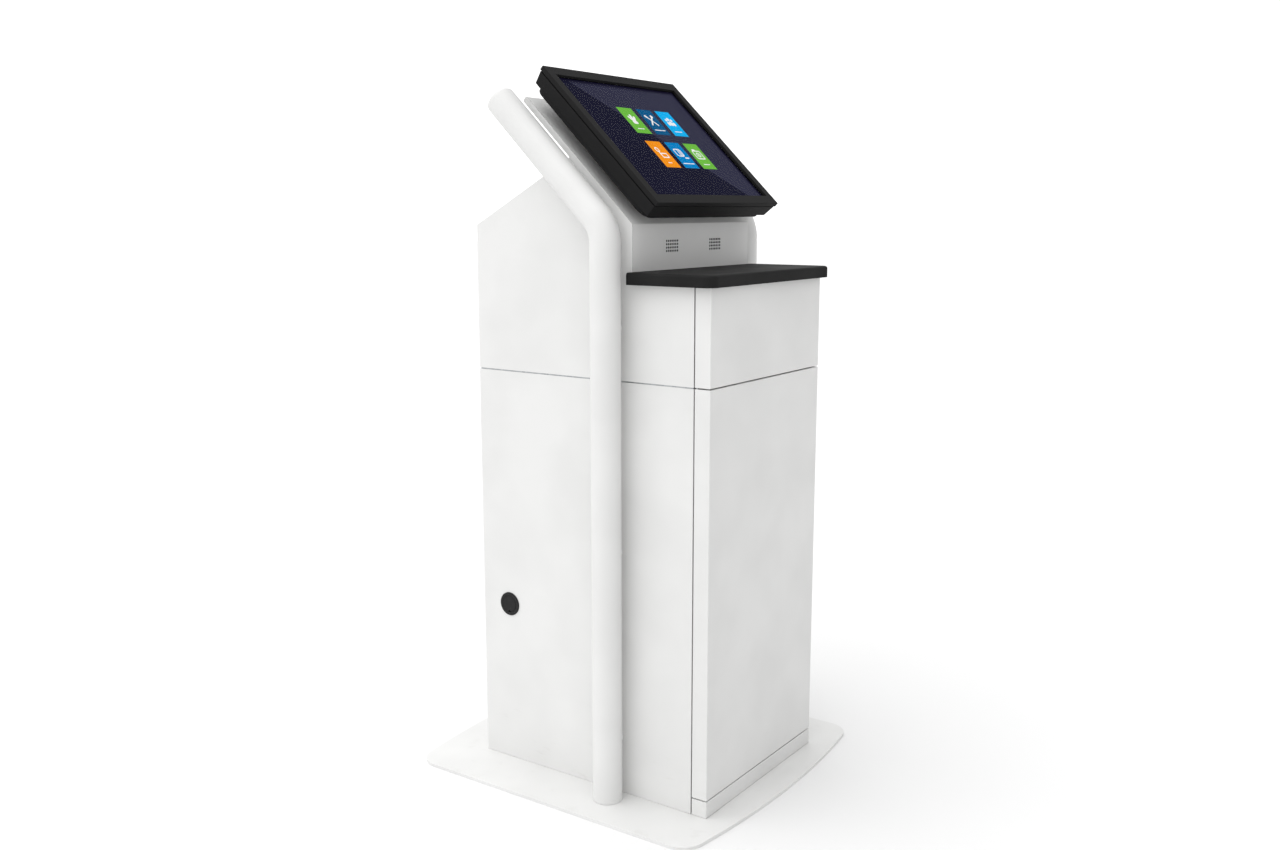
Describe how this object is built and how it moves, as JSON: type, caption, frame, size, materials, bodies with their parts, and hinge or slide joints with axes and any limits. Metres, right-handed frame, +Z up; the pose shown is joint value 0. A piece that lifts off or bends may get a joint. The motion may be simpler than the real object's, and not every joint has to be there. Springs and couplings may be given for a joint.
{
  "type": "touchscreen kiosk",
  "caption": "Floor-standing information kiosk: sheet-steel cabinet on a bowed base plate between bent side tubes, with a worktop and a leaning touch monitor.",
  "frame": {"origin": "on the floor, under the middle of the base plate", "axes": "+X to the right of someone facing the screen, +Y from the front to the back, +Z up"},
  "size_m": [0.634, 0.691, 1.3443],
  "materials": {
    "white_powdercoat": "satin powder coat",
    "black_powdercoat": "fine-textured powder coat",
    "black_laminate": "matt compact laminate",
    "zinc_steel": "zinc plated",
    "black_plastic": "moulded, fine grain",
    "touch_glass": "polished",
    "display": "lit display",
    "circuit_board": "solder mask"
  },
  "bodies": {
    "cabinet": {"base_plate": "white_powdercoat", "cable_grommet": "black_plastic", "controller_board": "circuit_board", "equipment_shelf": "zinc_steel", "fan_frame": "black_plastic", "floor_angle_left": "zinc_steel", "floor_angle_right": "zinc_steel", "floor_bolt_front_left": "zinc_steel", "floor_bolt_front_right": "zinc_steel", "floor_bolt_rear_left": "zinc_steel", "floor_bolt_rear_right": "zinc_steel", "lcd_panel": "display", "left_arm_spacer": "white_powdercoat", "left_tube": "white_powdercoat", "left_tube_spacer_1": "white_powdercoat", "left_tube_spacer_2": "white_powdercoat", "left_tube_spacer_3": "white_powdercoat", "lower_rear_panel": "white_powdercoat", "lower_side_left": "white_powdercoat", "lower_side_right": "white_powdercoat", "mini_pc": "black_plastic", "monitor_bezel": "black_powdercoat", "monitor_housing": "black_powdercoat", "monitor_mount": "black_powdercoat", "neck_backing_plate": "zinc_steel", "neck_panel": "white_powdercoat", "plinth_strip": "white_powdercoat", "power_strip": "black_plastic", "right_arm_spacer": "white_powdercoat", "right_tube": "white_powdercoat", "right_tube_spacer_1": "white_powdercoat", "right_tube_spacer_2": "white_powdercoat", "right_tube_spacer_3": "white_powdercoat", "roof_panel": "white_powdercoat", "shelf": "black_laminate", "shelf_bracket_left": "zinc_steel", "shelf_bracket_right": "zinc_steel", "speaker_left": "black_plastic", "speaker_right": "black_plastic", "touch_glass": "touch_glass", "upper_front_cover": "white_powdercoat", "upper_rear_panel": "white_powdercoat", "upper_side_left": "white_powdercoat", "upper_side_right": "white_powdercoat", "vesa_screw_lower_left": "zinc_steel", "vesa_screw_lower_right": "zinc_steel", "vesa_screw_upper_left": "zinc_steel", "vesa_screw_upper_right": "zinc_steel", "waist_frame": "zinc_steel"},
    "door": {"front_door": "white_powdercoat", "door_pivot_lower": "zinc_steel", "door_pivot_upper": "zinc_steel", "lock_barrel": "zinc_steel"},
    "lock_core": {"lock_plug": "zinc_steel", "lock_cam": "zinc_steel"},
    "fan_blades": {"fan_rotor": "black_plastic"},
    "grommet_lid": {"grommet_cap": "black_plastic"},
    "pc_button": {"pc_power_button": "zinc_steel"},
    "rocker": {"power_rocker": "black_plastic"}
  },
  "joints": [
    {"name": "front_door_hinge", "type": "hinge", "parent": "cabinet", "child": "door", "pos_m": [-0.196, -0.257, 0.406], "axis": [0, 0, -1], "range_deg": [0, 100]},
    {"name": "lock_turn", "type": "hinge", "parent": "door", "child": "lock_core", "pos_m": [0.1783, -0.26925, 0.436], "axis": [-1, 0, 0], "range_deg": [0, 90]},
    {"name": "fan_spin", "type": "hinge", "parent": "cabinet", "child": "fan_blades", "pos_m": [0, 0.2315, 0.656], "axis": [0, 1, 0], "continuous": true},
    {"name": "grommet_cap_turn", "type": "hinge", "parent": "cabinet", "child": "grommet_lid", "pos_m": [-0.2, 0.1725, 0.3265], "axis": [1, 0, 0], "range_deg": [-180, 180]},
    {"name": "pc_button_press", "type": "slide", "parent": "cabinet", "child": "pc_button", "axis": [0, 1, 0], "range_m": [0, 0.0015], "stiffness_N_per_m": 600},
    {"name": "power_rocker_tilt", "type": "hinge", "parent": "cabinet", "child": "rocker", "pos_m": [0.126, 0.1245, 0.0433], "axis": [1, 0, 0], "range_deg": [0, 14]}
  ]
}
